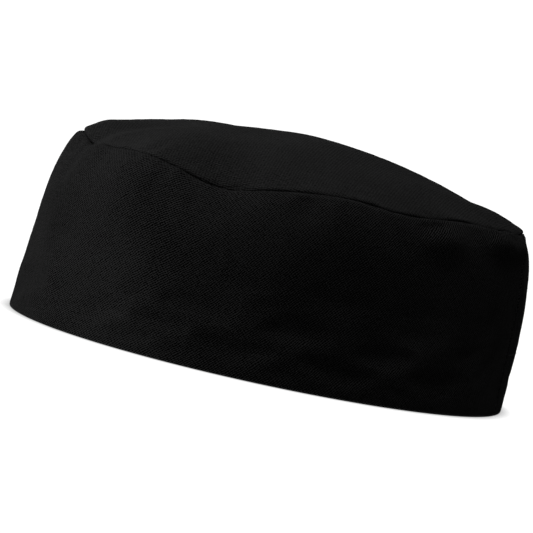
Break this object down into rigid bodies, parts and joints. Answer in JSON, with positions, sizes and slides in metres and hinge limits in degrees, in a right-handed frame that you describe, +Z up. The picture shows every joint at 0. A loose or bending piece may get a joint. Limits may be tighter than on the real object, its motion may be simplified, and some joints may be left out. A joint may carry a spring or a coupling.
{
  "type": "chef skull cap",
  "caption": "Low pillbox chef's cap: an upright oval band folded at the hem, a softly domed oval crown sewn into its top, and an elasticated back.",
  "frame": {"origin": "middle of the head opening, in the plane the hem rests on", "axes": "+Z up, -Y towards the front of the wearer's head, +X towards the wearer's left"},
  "size_m": [0.172, 0.2104, 0.0895],
  "materials": {
    "twill": "black cotton-rich twill, matt",
    "interlining": "white non-woven interlining",
    "elastic": "black woven elastic",
    "binding_tape": "black plain-weave tape",
    "sweatband_cloth": "black absorbent pique cloth",
    "label_satin": "white satin tape, blank",
    "thread": "black spun polyester thread",
    "label_thread": "white spun polyester thread"
  },
  "bodies": {
    "root": {"front_band": "twill", "band_interlining": "interlining", "back_panel": "twill", "back_elastic": "elastic", "crown_panel": "twill", "crown_seam_binding": "binding_tape", "sweatband": "sweatband_cloth", "care_label": "label_satin", "crown_seam_thread": "thread", "binding_thread": "thread", "sweatband_thread": "thread", "casing_thread": "thread", "join_thread_left": "thread", "join_thread_right": "thread", "label_thread": "label_thread"}
  },
  "joints": []
}
